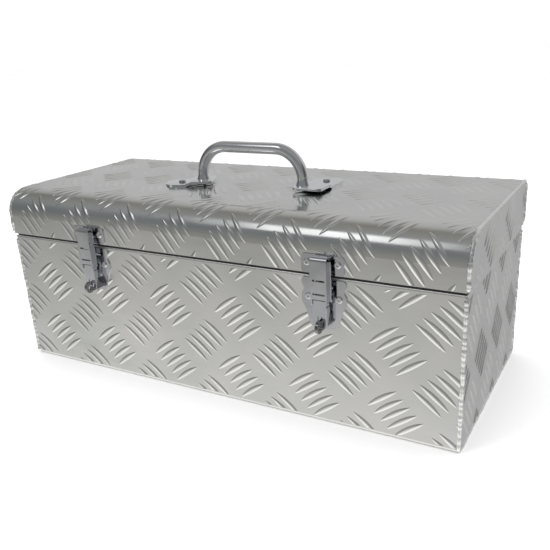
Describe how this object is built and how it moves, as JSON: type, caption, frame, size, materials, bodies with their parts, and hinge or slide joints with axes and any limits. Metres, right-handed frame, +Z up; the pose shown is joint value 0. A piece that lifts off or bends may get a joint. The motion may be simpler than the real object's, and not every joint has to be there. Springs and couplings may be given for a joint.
{
  "type": "battery box",
  "caption": "Lidded aluminium tread-plate battery box with a bullnose lid on a rear hinge, draw latches with padlock eyes and a chrome top handle.",
  "frame": {"origin": "centre of the underside of the body, on the surface it stands on", "axes": "+X along the length, -Y towards the latches (front), +Y towards the hinge, +Z up"},
  "size_m": [0.5766, 0.2703, 0.272],
  "materials": {
    "tread_plate": "satin mill finish with raised tread bars",
    "polished_tread_plate": "polished, with raised tread bars",
    "weld_bead": "bright as-welded ripple",
    "latch_chrome": "bright plated",
    "handle_chrome": "bright plated",
    "hinge_steel": "brushed",
    "rivet": "satin",
    "screw_steel": "bright zinc",
    "foam_seal": "matt foam"
  },
  "bodies": {
    "box": {"body_wrap": "tread_plate", "body_rim": "tread_plate", "body_end_left": "tread_plate", "body_end_right": "tread_plate", "body_weld_left": "weld_bead", "body_weld_right": "weld_bead", "hinge_leaf_body": "hinge_steel", "hinge_pin": "hinge_steel", "hinge_rivets_body": "rivet", "latch_base_left": "latch_chrome", "latch_base_right": "latch_chrome", "latch_base_rivets_left": "rivet", "latch_base_rivets_right": "rivet", "latch_staple_left": "latch_chrome", "latch_staple_right": "latch_chrome", "latch_lever_pin_left": "latch_chrome", "latch_lever_pin_right": "latch_chrome"},
    "lid": {"lid_wrap": "polished_tread_plate", "lid_rim": "tread_plate", "lid_end_left": "tread_plate", "lid_end_right": "tread_plate", "lid_weld_left": "weld_bead", "lid_weld_right": "weld_bead", "lid_seal": "foam_seal", "hinge_leaf_lid": "hinge_steel", "hinge_rivets_lid": "rivet", "latch_strike_left": "latch_chrome", "latch_strike_right": "latch_chrome", "latch_strike_rivets_left": "rivet", "latch_strike_rivets_right": "rivet", "handle_bar": "handle_chrome", "handle_foot_left": "handle_chrome", "handle_foot_right": "handle_chrome", "handle_screws": "screw_steel", "handle_leg_bolts": "screw_steel"},
    "lever_left": {"latch_lever_left": "latch_chrome", "latch_hook_pin_left": "latch_chrome"},
    "lever_right": {"latch_lever_right": "latch_chrome", "latch_hook_pin_right": "latch_chrome"},
    "hook_left": {"latch_hook_left": "latch_chrome"},
    "hook_right": {"latch_hook_right": "latch_chrome"}
  },
  "joints": [
    {"name": "lid_hinge", "type": "hinge", "parent": "box", "child": "lid", "pos_m": [0, 0.1257, 0.1655], "axis": [-1, 0, 0], "range_deg": [0, 100]},
    {"name": "latch_lever_left_hinge", "type": "hinge", "parent": "box", "child": "lever_left", "pos_m": [-0.1575, -0.1256, 0.1465], "axis": [-1, 0, 0], "range_deg": [0, 90]},
    {"name": "latch_lever_right_hinge", "type": "hinge", "parent": "box", "child": "lever_right", "pos_m": [0.1455, -0.1256, 0.1465], "axis": [-1, 0, 0], "range_deg": [0, 90]},
    {"name": "latch_hook_left_hinge", "type": "hinge", "parent": "lever_left", "child": "hook_left", "pos_m": [-0.1575, -0.1298, 0.1405], "axis": [-1, 0, 0], "range_deg": [-99.5, 0]},
    {"name": "latch_hook_right_hinge", "type": "hinge", "parent": "lever_right", "child": "hook_right", "pos_m": [0.1455, -0.1298, 0.1405], "axis": [-1, 0, 0], "range_deg": [-99.5, 0]}
  ],
  "couplings": [
    {"joint": "latch_hook_left_hinge", "follows": "latch_lever_left_hinge", "ratio": -1.1},
    {"joint": "latch_hook_right_hinge", "follows": "latch_lever_right_hinge", "ratio": -1.1}
  ]
}
